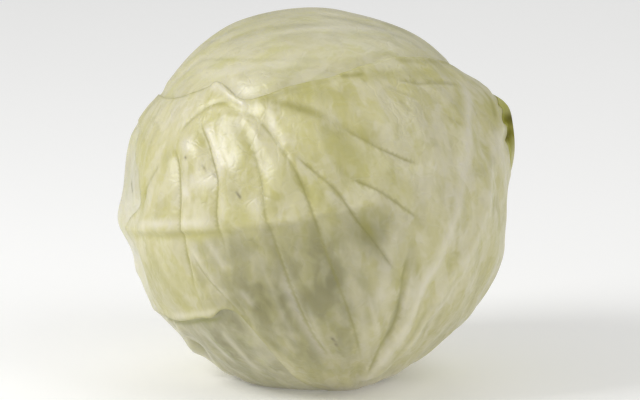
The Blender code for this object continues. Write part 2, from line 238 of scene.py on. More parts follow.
# Degrees from straight down and from the stem: the flat spot and the whitish foot
FOOT_FLAT = 18
FOOT_FADE = 14
FOOT_PALE = 14
FOOT_PALE_FADE = 20

# The front view looks down by VIEW_TILT, and the stem leans to its right
VIEW_TILT = math.radians(12)
STEM_LEAN = math.radians(10.7)
VIEW_CENTRE = (318, 200)
VIEW_RADIUS = 195.0
VIEW_RIGHT = np.array([1.0, 0.0, 0.0])
VIEW_UP = np.array([0.0, math.sin(VIEW_TILT), math.cos(VIEW_TILT)])
VIEW_NEAR = np.array([0.0, -math.cos(VIEW_TILT), math.sin(VIEW_TILT)])
STEM_WAY = np.array([math.sin(STEM_LEAN), 0.0, -math.cos(STEM_LEAN)])
FRONT_WAY = np.array([0.0, -1.0, 0.0])
RIGHT_WAY = np.array([math.cos(STEM_LEAN), 0.0, math.sin(STEM_LEAN)])
DOWN_WAY = np.array([0.0, 0.0, -1.0])

# The head's centre stands above the origin by way of the stem, which it is measured from
STEM_RADIUS = 14.5 * MM
CUT_DISTANCE = 79 * MM
stem_low, stem_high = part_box("stem")
HEAD_CENTRE = np.array(
    [
        stem_high[0] - CUT_DISTANCE * math.sin(STEM_LEAN) - STEM_RADIUS * math.cos(STEM_LEAN),
        (stem_low[1] + stem_high[1]) / 2,
        CENTRE_HEIGHT,
    ]
)


def unit(vectors):
    """The vectors at length one."""
    return vectors / np.linalg.norm(vectors, axis=-1, keepdims=True)


def seen(x, y):
    """The direction of a point of the front view, on the near side of the head."""
    across = (x - VIEW_CENTRE[0]) / VIEW_RADIUS
    up = (VIEW_CENTRE[1] - y) / VIEW_RADIUS
    near = math.sqrt(max(0.0, 1 - across**2 - up**2))
    return unit(across * VIEW_RIGHT + up * VIEW_UP + near * VIEW_NEAR)


def seen_line(*points):
    """The directions of several points of the front view."""
    return [seen(x, y) for x, y in points]


def turned(turn, polar):
    """The direction at a turn round the stem from the front, positive to the right, and
    at a polar angle from the stem, both in degrees."""
    turn, polar = math.radians(turn), math.radians(polar)
    outward = math.cos(turn) * FRONT_WAY + math.sin(turn) * RIGHT_WAY
    return math.cos(polar) * STEM_WAY + math.sin(polar) * outward


def turned_line(*points):
    """The directions of several turns and polar angles."""
    return [turned(turn, polar) for turn, polar in points]


def foot_arc(start, end):
    """A leaf's foot, an arc round the stem from one turn to another."""
    count = 1 + abs(end - start) // FOOT_ARC_STEP
    return [turned(turn, LEAF_BASE_POLAR) for turn in np.linspace(start, end, count)]


def along(points, step, closed=False):
    """A smooth line of directions through the points, one every step metres or so."""
    points = np.array(points)
    count = len(points)
    line = []
    for i in range(count if closed else count - 1):
        if closed:
            a, b, c, d = (points[(i + k) % count] for k in (-1, 0, 1, 2))
        else:
            b, c = points[i], points[i + 1]
            a = points[i - 1] if i else 2 * b - c
            d = points[i + 2] if i + 2 < count else 2 * c - b
        pieces = max(1, round(np.linalg.norm(c - b) * HEAD_RADIUS / step))
        for t in np.arange(pieces) / pieces:
            line.append(
                b
                + t * (c - a) / 2
                + t**2 * (a - 2.5 * b + 2 * c - d / 2)
                + t**3 * (1.5 * (b - c) + (d - a) / 2)
            )
    if not closed:
        line.append(points[-1])
    return unit(np.array(line))


def beside(line, ways):
    """Where each direction lies beside a line: metres from it, how far along it from 0 to
    1, and on which side, 1 for the left of its run and -1 for the right."""
    tree = kdtree.KDTree(len(line))
    for i, way in enumerate(line):
        tree.insert(way, i)
    tree.balance()
    nearest = np.array([tree.find(way)[1] for way in ways])
    best = np.full(len(ways), FAR)
    part, side = np.zeros(len(ways)), np.zeros(len(ways))
    for shift in (-1, 0):
        first = np.clip(nearest + shift, 0, len(line) - 2)
        run = line[first + 1] - line[first]
        t = ((ways - line[first]) * run).sum(1) / np.maximum((run**2).sum(1), 1e-12)
        t = np.clip(t, 0, 1)
        off = ways - line[first] - t[:, None] * run
        away = np.linalg.norm(off, axis=1)
        closer = away < best
        best = np.where(closer, away, best)
        part = np.where(closer, (first + t) / (len(line) - 1), part)
        hand = np.sign((np.cross(ways, run) * off).sum(1))
        side = np.where(closer, hand, side)
    return best * HEAD_RADIUS, part, side


def distance_to(lines, ways):
    """Metres from each direction to the nearest of the lines, along the head's surface."""
    return np.min([beside(line, ways)[0] for line in lines], axis=0)


def smooth_step(value):
    """0 below 0, 1 above 1, and smooth between."""
    value = np.clip(value, 0, 1)
    return value * value * (3 - 2 * value)


class Chart:
    """A flat map of the head round one direction, on which distances from it are true."""

    def __init__(self, centre):
        self.centre = centre
        self.east = unit(np.cross(-STEM_WAY, centre))
        self.north = np.cross(centre, self.east)

    def flat(self, ways):
        """The map's points of these directions, in radians."""
        angle = np.arccos(np.clip(ways @ self.centre, -1, 1))
        way = np.stack([ways @ self.east, ways @ self.north], axis=1)
        return way * (angle / np.maximum(np.linalg.norm(way, axis=1), 1e-9))[:, None]

    def ways(self, flat):
        """The directions of these points of the map."""
        angle = np.maximum(np.linalg.norm(flat, axis=1), 1e-9)[:, None]
        rise = np.sin(angle) / angle
        return np.cos(angle) * self.centre + rise * (flat[:, :1] * self.east + flat[:, 1:] * self.north)


class Outline:
    """The outline of a wrapper leaf on its map."""

    def __init__(self, middle, points, cell):
        self.cell = cell
        self.chart = Chart(middle)
        self.line = along(points, cell, closed=True)
        self.rim = np.vstack([self.line, self.line[:1]])

    def holds(self, ways):
        """Whether each direction is inside the outline."""
        points, rim = self.chart.flat(ways), self.chart.flat(self.rim)
        inside = []
        for part in np.array_split(points, max(1, len(points) // CHUNK)):
            x, y = part[:, :1], part[:, 1:]
            x0, y0, x1, y1 = rim[:-1, 0], rim[:-1, 1], rim[1:, 0], rim[1:, 1]
            spans = (y0 > y) != (y1 > y)
            rise = np.where(y1 == y0, 1.0, y1 - y0)
            inside.append((spans & (x < x0 + (y - y0) / rise * (x1 - x0))).sum(1) % 2 == 1)
        return np.concatenate(inside)

    def inside(self, ways):
        """Metres from each direction to the rim."""
        return distance_to([self.rim], ways)

    def cover(self, ways):
        """How deep the leaf presses what is under it, 1 for its full thickness, and how far
        it smooths it: both fall to 0 a little way outside the leaf."""
        away = self.inside(ways)
        held = self.holds(ways)
        smoothed = 1 - smooth_step((np.where(held, 0.0, away) - COVER_REACH) / COVER_FADE)
        full = MARGIN_PRESS + (1 - MARGIN_PRESS) * smooth_step(away / MARGIN_TAPER)
        return np.where(held, full, MARGIN_PRESS * smoothed), smoothed


# From the innermost to the outermost, each with its middle and how finely it is made
cap_outline = Outline(
    turned(176, 118),
    [
        *foot_arc(196, 140),
        *turned_line((118, 28), (96, 58), (84, 92), (76, 112), (66, 124), (40, 130), (15, 131)),
        *turned_line((-10, 128), (-38, 130), (-66, 124), (-88, 108), (-104, 84), (-122, 56), (-150, 28)),
    ],
    1.7 * MM,
)
left_outline = Outline(
    turned(-88, 72),
    [
        *foot_arc(16, -140),
        *turned_line((-150, 28), (-158, 55), (-160, 82), (-150, 104), (-128, 118), (-112, 125)),
        *turned_line((-98, 127), (-80, 122), (-60, 106), (-46, 92), (-38, 82), (-20, 66), (0, 44), (12, 26)),
    ],
    1.6 * MM,
)
# The free edge, the left margin, the corner behind it, the upper margin with its arch, the
# hidden part at the right, and the foot
front_outline = Outline(
    turned(12, 78),
    [
        *seen_line((223, 309), (213, 316), (200, 317), (180, 320), (165, 315), (153, 308)),
        *seen_line((144, 284), (138, 262), (127, 230), (138, 209), (140, 198), (138, 184)),
        *seen_line((137, 170), (134, 156), (136, 142), (140, 128)),
        *turned_line((-97, 124), (-105, 120), (-113, 118), (-118, 119.5)),
        *turned_line((-118.5, 123), (-115, 127), (-108, 130.5), (-98.5, 133.5)),
        *seen_line((165, 97), (180, 96), (205, 88), (220, 83), (240, 99), (262, 97), (289, 87)),
        *seen_line((330, 78), (345, 72), (372, 63), (392, 57), (425, 57), (450, 61)),
        *turned_line((98, 122), (109, 118), (118, 111), (119, 94), (114, 68), (106, 42), (100, 26)),
        *foot_arc(96, -8),
        turned(-20, 22),
        *seen_line((300, 383), (279, 361), (257, 335), (238, 314)),
    ],
    1.25 * MM,
)
# The torn corner on the shoulder, the margin down the right, the foot and the hidden part
right_outline = Outline(
    turned(148, 74),
    [
        *turned_line((103, 111), (98, 109.5), (92.5, 108.5), (90, 107.5), (90.5, 106), (87, 104.5)),
        *turned_line((86, 103), (87.5, 101.5), (85, 99.5), (83, 98.5), (84.5, 96.5), (85.5, 93)),
        *turned_line((88, 88), (89, 80), (89, 68), (92, 52), (82, 30)),
        *foot_arc(70, 222),
        *turned_line((224, 28), (222, 50), (228, 80), (218, 106), (196, 122), (168, 129)),
        *turned_line((138, 129), (122, 122), (110, 115)),
    ],
    1.6 * MM,
)

# Lumps and hollows of the head's own form: where, how wide in degrees and how high
LUMPS = [
    (seen(502, 122), 15, 7.8 * MM),
    (seen(457, 60), 8, -1.4 * MM),
    (seen(245, 18), 14, 1.4 * MM),
    (seen(214, 34), 14, 1.6 * MM),
    (seen(136, 128), 10, 2.8 * MM),
    (seen(166, 76), 8, -1.2 * MM),
    (seen(318, 5), 12, 1.0 * MM),
    (seen(360, 12), 16, -1.2 * MM),
    (seen(150, 300), 14, 1.0 * MM),
    (seen(135, 266), 8, -2.2 * MM),
    (seen(193, 349), 8, -4.2 * MM),
    (seen(251, 383), 9, 1.8 * MM),
    (seen(352, 391), 9, 1.6 * MM),
    (seen(443, 349), 24, -2.0 * MM),
    (seen(513, 206), 9, -4.0 * MM),
    (seen(117, 222), 7, 4.5 * MM),
    (seen(120, 175), 12, 1.0 * MM),
    (seen(508, 104), 5, 1.8 * MM),
]


def bell(away, width):
    """1 where away is 0, falling off softly over the width."""
    return np.exp(-((away / width) ** 2))


def degrees_from(middle, ways):
    """The angle between each direction and the middle one, in degrees."""
    return np.degrees(np.arccos(np.clip(ways @ middle, -1, 1)))


def round_spot(middle, width, ways):
    """1 in the middle direction, falling off softly over this many degrees."""
    return bell(degrees_from(middle, ways), width)


def head_radius(ways):
    """The head's own form, as a distance from its centre in each direction."""
    radius = np.full(len(ways), HEAD_RADIUS)
    for middle, width, height in LUMPS:
        radius += height * round_spot(middle, width, ways)
    return radius


def foot_fade(ways):
    """0 on the flat spot and near the stem, and 1 from a little way up the head."""
    return smooth_step((degrees_from(DOWN_WAY, ways) - FOOT_FLAT) / FOOT_FADE)


def rib_taper(ways):
    """Veins and ribs are thickest near the stem and thin out on their way up the leaf."""
    polar = degrees_from(STEM_WAY, ways)
    return 1 - RIB_THINNING * smooth_step((polar - RIB_FULL) / (RIB_THIN - RIB_FULL))


def waved(outline, ways, height, wave):
    """The relief made lower at the margin, which is waved, most where it is at the back."""
    inside = outline.inside(ways)
    turn = np.arctan2(ways @ RIGHT_WAY, ways @ FRONT_WAY)
    swing = 1 + np.sin(MARGIN_WAVES * (turn + ways @ STEM_WAY))
    loose = FRONT_WAVE + (1 - FRONT_WAVE) * smooth_step((LOOSE_FROM - ways @ VIEW_NEAR) / LOOSE_OVER)
    height = height * (1 - MARGIN_FLATTEN * (1 - smooth_step(inside / MARGIN_BAND)))
    return height + wave * loose * swing * np.exp(-inside / MARGIN_REACH)


def side_veins(turn, reach, first, last, count, top):
    """Veins by rule, for a leaf whose midrib stands at this turn: pairs that leave it at
    polar angles from first to last and lean out by reach degrees on their way to top."""
    lines = []
    for i in range(count):
        start = first + (last - first) * i / (count - 1)
        for side in (-1, 1):
            begin = start + PAIR_SHIFT * side
            rise = VEIN_RISE * (top - begin)
            lean = side * reach * (1 - LEAN_LOSS * i / count)
            steps = np.linspace(VEIN_START, 1, VEIN_POINTS)
            lines.append([turned(turn + lean * t**VEIN_BEND, begin + rise * t) for t in steps])
    return lines


def puckers(fan, across, lengthwise, seed):
    """A soft, even unrest between about -1 and 1, in puckers of this size across the veins
    and along them. The fan has the places across and along the veins, in radians."""
    level, upright = fan[0] * HEAD_RADIUS / across, fan[1] * HEAD_RADIUS / lengthwise
    return np.array([noise.noise((x, y, seed)) for x, y in zip(level, upright)]) * PUCKER_SPAN


def stroke(points, ways, width, fade=0.18, step=1.2 * MM):
    """A soft line through the points, 1 at its middle, thinning out at both its ends."""
    away, part, _ = beside(along(points, step), ways)
    return bell(away, width) * (smooth_step(part / fade) * smooth_step((1 - part) / fade))


def strokes(ways, rows, fade=0.18):
    """Soft lines, from rows of a line, its half width in millimetres and its strength."""
    return [strength * stroke(line, ways, width * MM, fade) for line, width, strength in rows]


def patch(x, y, width, ways, stretch=1.0, lean=0.0):
    """A soft patch round a point of the front view, its width in the view's pixels. It is
    longer by stretch in the direction that leans by this angle from level."""
    ahead = smooth_step(1 + (ways @ VIEW_NEAR) / PATCH_FADE)
    right = (ways @ VIEW_RIGHT) * VIEW_RADIUS + VIEW_CENTRE[0] - x
    down = VIEW_CENTRE[1] - (ways @ VIEW_UP) * VIEW_RADIUS - y
    lean = math.radians(lean)
    level = right * math.cos(lean) + down * math.sin(lean)
    upright = down * math.cos(lean) - right * math.sin(lean)
    return ahead * np.exp(-((level / (width * stretch)) ** 2) - (upright / width) ** 2)


def patches(ways, rows):
    """Soft patches, from rows of x, y, width and strength, and their stretch and lean."""
    return [strength * patch(x, y, width, ways, *form) for x, y, width, strength, *form in rows]


def any_of(*masks):
    """The strongest of several masks."""
    return np.clip(np.max(masks, axis=0), 0, 1)


def leaf_sheet(outline, lines):
    """The leaf flat on its map: outline, relief lines and an even fill of points, joined
    into triangles that follow the lines."""
    lines = [line[outline.holds(line)] for line in lines]
    lines = [line for line in lines if len(line) > 1]
    lines = [line[outline.inside(line) > RIM_CLEARANCE * outline.cell] for line in lines]
    lines = [line for line in lines if len(line) > 1]
    edge = outline.chart.flat(outline.line)
    points, edges = list(edge), [(i, (i + 1) % len(edge)) for i in range(len(edge))]
    for line in lines:
        first = len(points)
        points.extend(outline.chart.flat(line))
        edges.extend((first + i, first + i + 1) for i in range(len(line) - 1))
    step = outline.cell / HEAD_RADIUS
    low, high = edge.min(0), edge.max(0)
    columns = np.arange(low[0], high[0], step)
    rows = np.arange(low[1], high[1], step * ROW_SHARE)
    fill = np.array([(x + step / 2 * (row % 2), y) for row, y in enumerate(rows) for x in columns])
    fill = fill[outline.holds(outline.chart.ways(fill))]
    clear = distance_to([outline.rim] + lines, outline.chart.ways(fill))
    points.extend(fill[clear > LINE_CLEARANCE * outline.cell])
    loop = [list(range(len(edge)))]
    joined = geometry.delaunay_2d_cdt([Vector(p) for p in points], edges, loop, 1, MERGE_ANGLE)
    return outline.chart.ways(np.array([tuple(p) for p in joined[0]])), joined[2]


def new_object(name, data):
    """An object of this name in the scene, at the origin."""
    made = bpy.data.objects.new(name, data)
    bpy.context.scene.collection.objects.link(made)
    return made


def new_leaf(name, outline, outer, sheet, relief, masks, fan, finish):
    """The sheet laid over the head below the outer leaves, thickened, and with its masks
    as attributes that its material reads."""
    ways, triangles = sheet
    above = np.zeros(len(ways))
    clear = foot_fade(ways)
    for leaf in outer:
        pressed, smoothed = leaf.cover(ways)
        above += pressed * LAYER
        clear = clear * (1 - smoothed)
    points = ways * (head_radius(ways) - above + relief * clear)[:, None]
    points[:, 2] = np.maximum(points[:, 2], above - CENTRE_HEIGHT)
    mesh = bpy.data.meshes.new(name)
    mesh.from_pydata((points + HEAD_CENTRE).tolist(), [], triangles)
    mesh.shade_smooth()
    masks["foot"] = smooth_step(1 - (degrees_from(STEM_WAY, ways) - FOOT_PALE) / FOOT_PALE_FADE)
    for key in MASKS:
        values = masks.get(key, np.zeros(len(ways))).astype(np.float32)
        mesh.attributes.new(key, "FLOAT", "POINT").data.foreach_set("value", values)
    streaks = np.column_stack([fan[0], fan[1], np.zeros(len(ways))]).astype(np.float32)
    mesh.attributes.new("fan", "FLOAT_VECTOR", "POINT").data.foreach_set("vector", streaks.ravel())
    mesh.materials.append(finish)
    leaf = new_object(name, mesh)
    share = MARGIN_THICKNESS + (1 - MARGIN_THICKNESS) * smooth_step(outline.inside(ways) / MARGIN_TAPER)
    group = leaf.vertex_groups.new(name="thickness")
    for i, value in enumerate(share):
        group.add([i], float(value), "REPLACE")
    wall = leaf.modifiers.new("thickness", "SOLIDIFY")
    wall.thickness = LEAF_THICKNESS
    wall.offset = -1
    wall.vertex_group = "thickness"
    return leaf


# The skin of a wrapper leaf: flesh with streaks along its veins, pale veins and foot,
# yellow-green margins, olive where it is older and small scars, with painted shade darkening
# the creases. Masks say where each is, and every leaf sets its own tints. The pale and shade
# masks also carry painted highlights and painted shade.
MASKS = ("vein", "pale", "lime", "olive", "shade", "crease_shade_and_marks", "scar", "foot")
TINTS = ("Flesh", "Pale", "Lime", "Olive", "Shade", "Scar")
# The tint of painted shade, and of the greyer patches of the leaf's own colour
SHADE = (0.25, 0.24, 0.13, 1)
SCAR = (0.12, 0.1, 0.06, 1)
skin, given, result = new_group(
    "leaf_skin",
    [(tint, "NodeSocketColor", HEART_FLESH) for tint in TINTS],
    [
        ("Colour", "NodeSocketColor"),
        ("Roughness", "NodeSocketFloat"),
        ("Wax", "NodeSocketFloat"),
        ("Height", "NodeSocketFloat"),
    ],
)


def mask(name):
    """A mask of the leaf, read inside the skin."""
    return shader_node(skin, "ShaderNodeAttribute", attribute_name=name).outputs["Fac"]


base = shader_node(skin, "ShaderNodeGroup", node_tree=tissue)
base.inputs["Cloud Size"].default_value = 0.028
base.inputs["Net Size"].default_value = 0.007
fan = shader_node(skin, "ShaderNodeAttribute", attribute_name="fan").outputs["Vector"]


def drift(scale, shift, distortion=0.35):
    """Soft patches of the skin, stretched along the veins, from 0 to 1."""
    laid = shader_node(skin, "ShaderNodeMapping", {"Vector": fan, "Scale": scale, "Location": shift})
    made = shader_node(
        skin,
        "ShaderNodeTexNoise",
        {"Vector": laid.outputs[0], "Scale": 1.0, "Detail": 2.0, "Roughness": 0.5, "Distortion": distortion},
    )
    return made.outputs["Fac"]


cloud = spread(skin, base.outputs["Clouds"], 0.3, 0.7)
streak = spread(skin, drift((14.0, 2.8, 1.0), (0.0, 0.0, 0.0), 0.2), 0.35, 0.65)
fibre = spread(skin, drift((44.0, 5.0, 1.0), (5.0, 2.0, 0.0), 0.3), 0.3, 0.7)
paler = spread(skin, drift((11.0, 7.0, 1.0), (3.0, 7.0, 1.5)), 0.45, 0.6)
greener = spread(skin, drift((9.0, 6.0, 1.0), (11.0, 1.0, 4.0)), 0.46, 0.6)
greyer = spread(skin, drift((6.0, 4.0, 1.0), (2.0, 13.0, 8.0)), 0.48, 0.64)
mottle = spread(skin, drift((9.0, 6.0, 1.0), (6.0, 3.0, 2.0)), 0.35, 0.6, 0.65, 1.0)
# Painted shade where the shade mask lies, broken into patches
shaded = sums(skin, "MULTIPLY", mask("shade"), mottle)
# Veins, foot and the pale mask whiten the skin; the pale mask holds pale tissue and painted highlights
whiter = sums(skin, "MAXIMUM", mask("vein"), sums(skin, "MAXIMUM", mask("pale"), mask("foot")))
uneven = spread(skin, base.outputs["Clouds"], 0.25, 0.75, 0.55, 1.0)

# Each layer lies over the ones before it: where it is, how strong it is and its colour
colour = given.outputs["Flesh"]
for where, strength, tint in (
    (cloud, 0.22, "Lime"),
    (greener, 0.5, "Lime"),
    (greyer, 0.22, "Shade"),
    (paler, 0.32, "Pale"),
    (streak, 0.13, "Pale"),
    (fibre, 0.05, "Pale"),
    (base.outputs["Net"], 0.1, "Pale"),
    (shaded, 1.0, "Shade"),
    (whiter, 0.8, "Pale"),
    (mask("lime"), uneven, "Lime"),
    (mask("olive"), uneven, "Olive"),
    # Creases darkened with painted shade, and dark marks
    (mask("crease_shade_and_marks"), 0.62, "Olive"),
    (mask("scar"), 1.0, "Scar"),
):
    colour = tinted(skin, sums(skin, "MULTIPLY", where, strength), colour, given.outputs[tint])

# Wax makes the leaf shine softly, and scars and old tissue are dull and dry
dry = sums(skin, "MAXIMUM", mask("scar"), mask("olive"))
rough = spread(skin, base.outputs["Grain"], 0.3, 0.7, 0.32, 0.4)
for where, strength in ((cloud, 0.08), (dry, 0.3)):
    rough = sums(skin, "ADD", rough, sums(skin, "MULTIPLY", where, strength))
wax = spread(skin, base.outputs["Clouds"], 0.3, 0.7, 0.22, 0.36)
wax = sums(skin, "MULTIPLY", wax, sums(skin, "SUBTRACT", 1.0, dry))
height = sums(skin, "MULTIPLY", base.outputs["Net"], -0.1)
for where, strength in ((fibre, 0.01), (base.outputs["Grain"], 0.05), (mask("scar"), -0.25)):
    height = sums(skin, "ADD", height, sums(skin, "MULTIPLY", where, strength))
for name, value in (("Colour", colour), ("Roughness", rough), ("Wax", wax), ("Height", height)):
    skin.links.new(value, result.inputs[name])


def leaf_finish(name, flesh, pale, lime, olive, shade=SHADE, scar=SCAR):
    """The material of one wrapper leaf, from its own colours."""
    made, tree, shader = new_material(name)
    set_leaf_shader(shader)
    colours = dict(zip(TINTS, (flesh, pale, lime, olive, shade, scar)))
    skinned = shader_node(tree, "ShaderNodeGroup", node_tree=skin)
    for tint, value in colours.items():
        skinned.inputs[tint].default_value = value
    tree.links.new(skinned.outputs["Colour"], shader.inputs["Base Color"])
    tree.links.new(skinned.outputs["Roughness"], shader.inputs["Roughness"])
    uneven = shader_node(tree, "ShaderNodeBump", {"Height": skinned.outputs["Height"], "Distance": MM})
    tree.links.new(uneven.outputs["Normal"], shader.inputs["Normal"])
    tree.links.new(skinned.outputs["Wax"], shader.inputs["Coat Weight"])
    return made


# The cap leaf
# The cap leaf comes up the back from its foot, over the top and down to the front, where
# its margin lies under the front leaf's upper edge. It is the smoothest of the four, with
# a midrib up the back, and fine streaks across the top.
CAP_MIDRIB = along(turned_line((178, 16), (178, 60), (176, 100), (172, 140)), cap_outline.cell)
CAP_PAIRS = side_veins(turn=178, reach=46, first=30, last=96, count=5, top=150)
CAP_VEINS = [along(line, cap_outline.cell) for line in CAP_PAIRS]
CAP_WAVE = 1.0 * MM
# Lines of colour: their line, half width in millimetres and strength
CAP_PALE_LINES = [
    (seen_line((190, 74), (225, 72), (270, 66), (330, 58)), 3.0, 0.6),
    (seen_line((230, 44), (290, 30), (360, 26), (420, 36)), 3.4, 0.5),
]
# Soft patches of colour: x, y, width and strength, and their stretch and lean
CAP_LIME = [(228, 59, 3, 0.6, 4), (150, 96, 9, 0.5, 2.2, -60), (240, 24, 7, 0.35, 4, -12)]
CAP_OLIVE = [(308, 60, 4, 0.45, 3.4), (400, 22, 6, 0.25, 5, 14)]
# A crease, darkened with painted shade
CAP_CREASE = seen_line((196, 60), (240, 59), (300, 62))


def ribbed(veins, midrib, ways):
    """The relief of a leaf's side veins and midrib, and how pale each makes the tissue."""
    vein_away, rib_away = distance_to(veins, ways), distance_to([midrib], ways)
    relief = VEIN_HEIGHT * bell(vein_away, VEIN_WIDTH)
    relief += MIDRIB_HEIGHT * bell(rib_away, MIDRIB_WIDTH)
    return relief * rib_taper(ways), bell(vein_away, PALE_VEIN_WIDTH), bell(rib_away, PALE_RIB_WIDTH)


sheet = leaf_sheet(cap_outline, CAP_VEINS + [CAP_MIDRIB])
ways = sheet[0]
pitch = np.arctan2(ways[:, 2], -ways[:, 1]) % math.tau
fan = (pitch, np.arcsin(np.clip(ways[:, 0], -1, 1)))
relief, veined, midrib = ribbed(CAP_VEINS, CAP_MIDRIB, ways)
relief = waved(cap_outline, ways, relief, CAP_WAVE)
relief += 0.7 * MM * puckers(fan, across=13 * MM, lengthwise=50 * MM, seed=3.1)
relief += 0.2 * MM * puckers(fan, across=6 * MM, lengthwise=22 * MM, seed=4.4)
masks = {
    "vein": any_of(0.6 * veined, midrib),
    "pale": any_of(*strokes(ways, CAP_PALE_LINES), 0.4 * patch(240, 88, 10, ways, stretch=2.2)),
    "lime": any_of(*patches(ways, CAP_LIME), 0.5 * np.exp(-cap_outline.inside(ways) / (2 * MM))),
    "olive": any_of(*patches(ways, CAP_OLIVE)),
    "crease_shade_and_marks": 0.4 * stroke(CAP_CREASE, ways, 0.9 * MM),
    # Painted shade on the top of the head
    "shade": 0.36 * patch(310, 26, 18, ways, stretch=5),
}
cap_finish = leaf_finish(
    "cap_leaf_skin",
    flesh=(0.61, 0.57, 0.34, 1),
    pale=(0.74, 0.70, 0.53, 1),
    lime=(0.55, 0.53, 0.22, 1),
    olive=(0.33, 0.32, 0.12, 1),
)
over_cap = [left_outline, front_outline, right_outline]
cap_leaf = new_leaf("cap_leaf_skinned", cap_outline, over_cap, sheet, relief, masks, fan, cap_finish)
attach(cap_leaf, "root")
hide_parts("cap_leaf")


# The left leaf
# The left leaf is the paler one under the front leaf. It shows as a whitish crescent at the
# left, as the striped patch below the front leaf's free edge, and round the back.
LEFT_MIDRIB = along(turned_line((-82, 16), (-86, 45), (-92, 80), (-98, 112)), left_outline.cell)
LEFT_PAIRS = side_veins(turn=-90, reach=44, first=26, last=80, count=4, top=124)
LEFT_VEINS = [along(line, left_outline.cell) for line in LEFT_PAIRS]
LEFT_WAVE = 0.9 * MM
LEFT_VEIN_LINES = [
    (seen_line((189, 321), (203, 334), (217, 350), (238, 370)), 1.9, 0.6),
    (seen_line((214, 321), (226, 338), (246, 362), (262, 378)), 1.9, 0.5),
]
# The painted shadow under the front leaf's free edge
LEFT_EDGE_SHADOW = seen_line((158, 318), (180, 324), (200, 322), (216, 320), (228, 312))
# Painted shade below the front leaf's free edge and on the crescent: x, y, width and strength, and their
# stretch and lean
LEFT_SHADE = [
    (225, 350, 34, 0.85, 1.8, 38),
    (270, 372, 20, 0.7, 1.5),
    (230, 322, 14, 0.9, 2.2, 50),
    (126, 176, 12, 0.36, 2.4, 88),
]
# A line of painted shade below the free edge
LEFT_SHADE_LINE = seen_line((204, 326), (220, 346), (244, 370))
# The first is a crease darkened with painted shade, the second a dark mark on the crescent: their line, half
# width in millimetres and strength
LEFT_CREASES = [
    (seen_line((205, 333), (211, 340), (218, 347), (240, 366)), 0.9, 1.0),
    (seen_line((128, 178), (129, 186), (130, 195)), 0.8, 1.0),
]
LEFT_SCAR = seen_line((128, 180), (129, 186), (130, 193))


def fan_of(ways, turn):
    """Streak places for a leaf whose veins rise from the stem: round it and up from it."""
    away = np.arctan2(ways @ RIGHT_WAY, ways @ FRONT_WAY) - math.radians(turn)
    away = (away + math.pi) % math.tau - math.pi
    return away, np.arccos(np.clip(ways @ STEM_WAY, -1, 1))


sheet = leaf_sheet(left_outline, LEFT_VEINS + [LEFT_MIDRIB])
ways = sheet[0]
fan = fan_of(ways, -88)
relief, veined, midrib = ribbed(LEFT_VEINS, LEFT_MIDRIB, ways)
relief += 0.7 * MM * puckers(fan, across=12 * MM, lengthwise=26 * MM, seed=5.7)
relief = waved(left_outline, ways, relief, LEFT_WAVE)
masks = {
    "vein": any_of(0.8 * veined, midrib, *strokes(ways, LEFT_VEIN_LINES, fade=0.3)),
    "pale": 0.3 * patch(124, 190, 16, ways, stretch=2.6, lean=90),
    "lime": 0.6 * np.exp(-left_outline.inside(ways) / (2 * MM)),
    # A painted shadow line under the front leaf's free edge
    "olive": stroke(LEFT_EDGE_SHADOW, ways, 1.2 * MM),
    "shade": any_of(
        *patches(ways, LEFT_SHADE),
        stroke(LEFT_SHADE_LINE, ways, 2.0 * MM, fade=0.3),
    ),
    "crease_shade_and_marks": any_of(*strokes(ways, LEFT_CREASES)),
    "scar": 0.6 * stroke(LEFT_SCAR, ways, 0.6 * MM),
}
left_finish = leaf_finish(
    "left_leaf_skin",
    flesh=(0.65, 0.61, 0.40, 1),
    pale=(0.73, 0.70, 0.56, 1),
    lime=(0.55, 0.55, 0.24, 1),
    olive=(0.36, 0.36, 0.15, 1),
    shade=(0.22, 0.205, 0.09, 1),
)
over_left = [front_outline, right_outline]
left_leaf = new_leaf("left_leaf_skinned", left_outline, over_left, sheet, relief, masks, fan, left_finish)
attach(left_leaf, "root")
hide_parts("left_leaf")


# The front leaf
# The front leaf wraps most of the front. It is puckered into long panels between creases
# that run down to the stem, with two ribs at the right, a sharp fold across the left, a
# yellow-green left margin, and a free edge at the lower left.
FRONT_CREASES = [
    seen_line((174, 140), (178, 168), (180, 200), (182, 230), (187, 262), (196, 292)),
    seen_line((199, 118), (208, 142), (213, 163), (218, 185), (218, 215), (228, 258)),
    seen_line((241, 124), (255, 156), (263, 190), (268, 220), (281, 260), (304, 318), (335, 365)),
    seen_line((232, 104), (260, 122), (290, 162), (306, 195), (327, 255), (352, 322), (362, 365)),
    seen_line((289, 151), (316, 173), (337, 192), (357, 220), (380, 250), (396, 272)),
    seen_line((349, 178), (375, 189), (395, 201), (420, 220)),
    seen_line((340, 126), (365, 140), (385, 151), (421, 166)),
    seen_line((410, 248), (402, 280), (395, 320), (380, 350), (364, 378)),
    seen_line((190, 250), (205, 275), (230, 302), (262, 343), (292, 375)),
]
FRONT_RIBS = [
    seen_line((366, 378), (388, 350), (418, 290), (436, 258), (452, 215), (464, 150), (465, 92)),
    seen_line((372, 376), (415, 330), (440, 290), (465, 255), (484, 210), (491, 160), (487, 100)),
]
FOLD_LINE = seen_line((122, 226), (150, 229), (200, 228), (235, 226), (265, 221), (314, 216))
